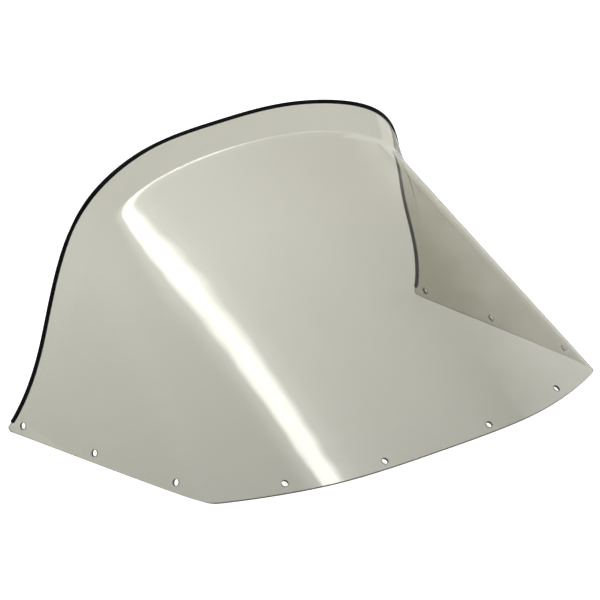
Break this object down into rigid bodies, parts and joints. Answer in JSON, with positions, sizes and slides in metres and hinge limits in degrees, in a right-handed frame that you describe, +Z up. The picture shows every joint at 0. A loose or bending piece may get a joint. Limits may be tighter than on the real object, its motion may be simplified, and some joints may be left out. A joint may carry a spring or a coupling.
{
  "type": "windshield",
  "caption": "Bent smoked windshield: raked front, upright side wings and a flared upper lip, with a black channel trim on its rear and top edge and fixing holes along its lower edge.",
  "frame": {"origin": "on the ground at the middle of the footprint, where the windshield stands on its lower edge", "axes": "+Z up, front of the windshield towards -Y, +X towards the rider's left wing; mirror symmetric about X = 0"},
  "size_m": [0.663, 0.3942, 0.3102],
  "materials": {
    "smoked_sheet": "polished both sides, transparent, light warm grey smoke tint",
    "black_trim": "smooth black flexible vinyl with a soft sheen",
    "adhesive": "dull dark butyl"
  },
  "bodies": {
    "root": {"windshield_panel": "smoked_sheet", "edge_trim": "black_trim", "trim_adhesive": "adhesive"}
  },
  "joints": []
}
